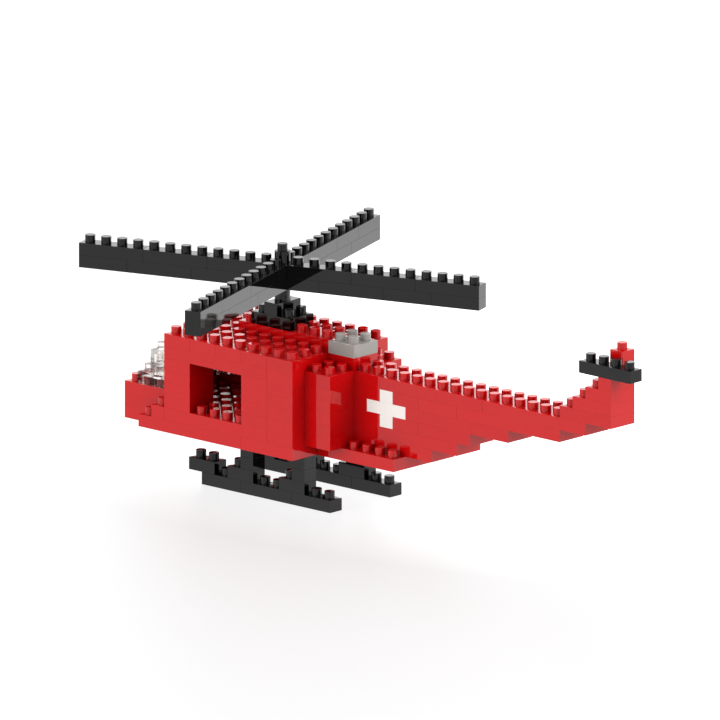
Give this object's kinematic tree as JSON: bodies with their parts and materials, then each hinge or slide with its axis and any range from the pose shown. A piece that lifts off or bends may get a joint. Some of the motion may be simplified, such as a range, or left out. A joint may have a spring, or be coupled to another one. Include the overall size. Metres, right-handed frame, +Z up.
{
  "type": "toy helicopter",
  "caption": "Toy helicopter of small clip-together bricks, with a crossed rotor that turns on its mast, an open-sided cabin, a clear windshield, a stepped tail boom and landing skids.",
  "frame": {"origin": "centre of the bounding box, at the underside of the skid rails, which is the surface the toy stands on", "axes": "+X towards the tail, +Y towards the starboard side, +Z up along the mast"},
  "size_m": [0.16, 0.096, 0.0569],
  "materials": {
    "red_bricks": "glossy moulded ABS, red",
    "black_bricks": "glossy moulded ABS, black",
    "white_bricks": "glossy moulded ABS, white",
    "grey_bricks": "glossy moulded ABS, light grey",
    "clear_bricks": "clear, uncoloured moulded plastic"
  },
  "bodies": {
    "airframe": {"skid_rails": "black_bricks", "skid_shoes": "black_bricks", "strut_lower": "black_bricks", "strut_upper": "black_bricks", "hull_bottom": "red_bricks", "nose_bottom": "red_bricks", "nose_middle": "red_bricks", "nose_top": "red_bricks", "cabin_floor": "red_bricks", "belly_deck": "red_bricks", "windshield_lower": "clear_bricks", "windshield_middle": "clear_bricks", "windshield_upper": "clear_bricks", "front_pillars": "red_bricks", "rear_pillars": "red_bricks", "back_wall": "red_bricks", "tie_bricks": "red_bricks", "engine_bay": "red_bricks", "roof_lower": "red_bricks", "roof_upper": "red_bricks", "roof_ridge": "red_bricks", "exhaust_seat": "red_bricks", "exhaust": "grey_bricks", "boom_layer_1": "red_bricks", "boom_layer_2": "red_bricks", "boom_layer_3": "red_bricks", "boom_layer_4": "red_bricks", "boom_layer_5": "red_bricks", "boom_layer_6": "red_bricks", "cross_bricks": "white_bricks", "fin_base": "red_bricks", "fin_second": "red_bricks", "fin_third": "red_bricks", "fin_top": "red_bricks", "fin_cap": "red_bricks", "tail_rotor": "black_bricks", "mast_base": "black_bricks", "mast_jumper": "black_bricks", "mast_post": "black_bricks"},
    "rotor": {"long_blade_lower": "black_bricks", "long_blade_upper": "black_bricks", "cross_blade_lower": "black_bricks", "cross_blade_upper": "black_bricks", "hub_cap": "black_bricks"}
  },
  "joints": [
    {"name": "main_rotor_spin", "type": "hinge", "parent": "airframe", "child": "rotor", "pos_m": [-0.03201, 0, 0.04648], "axis": [0, 0, 1], "continuous": true}
  ]
}
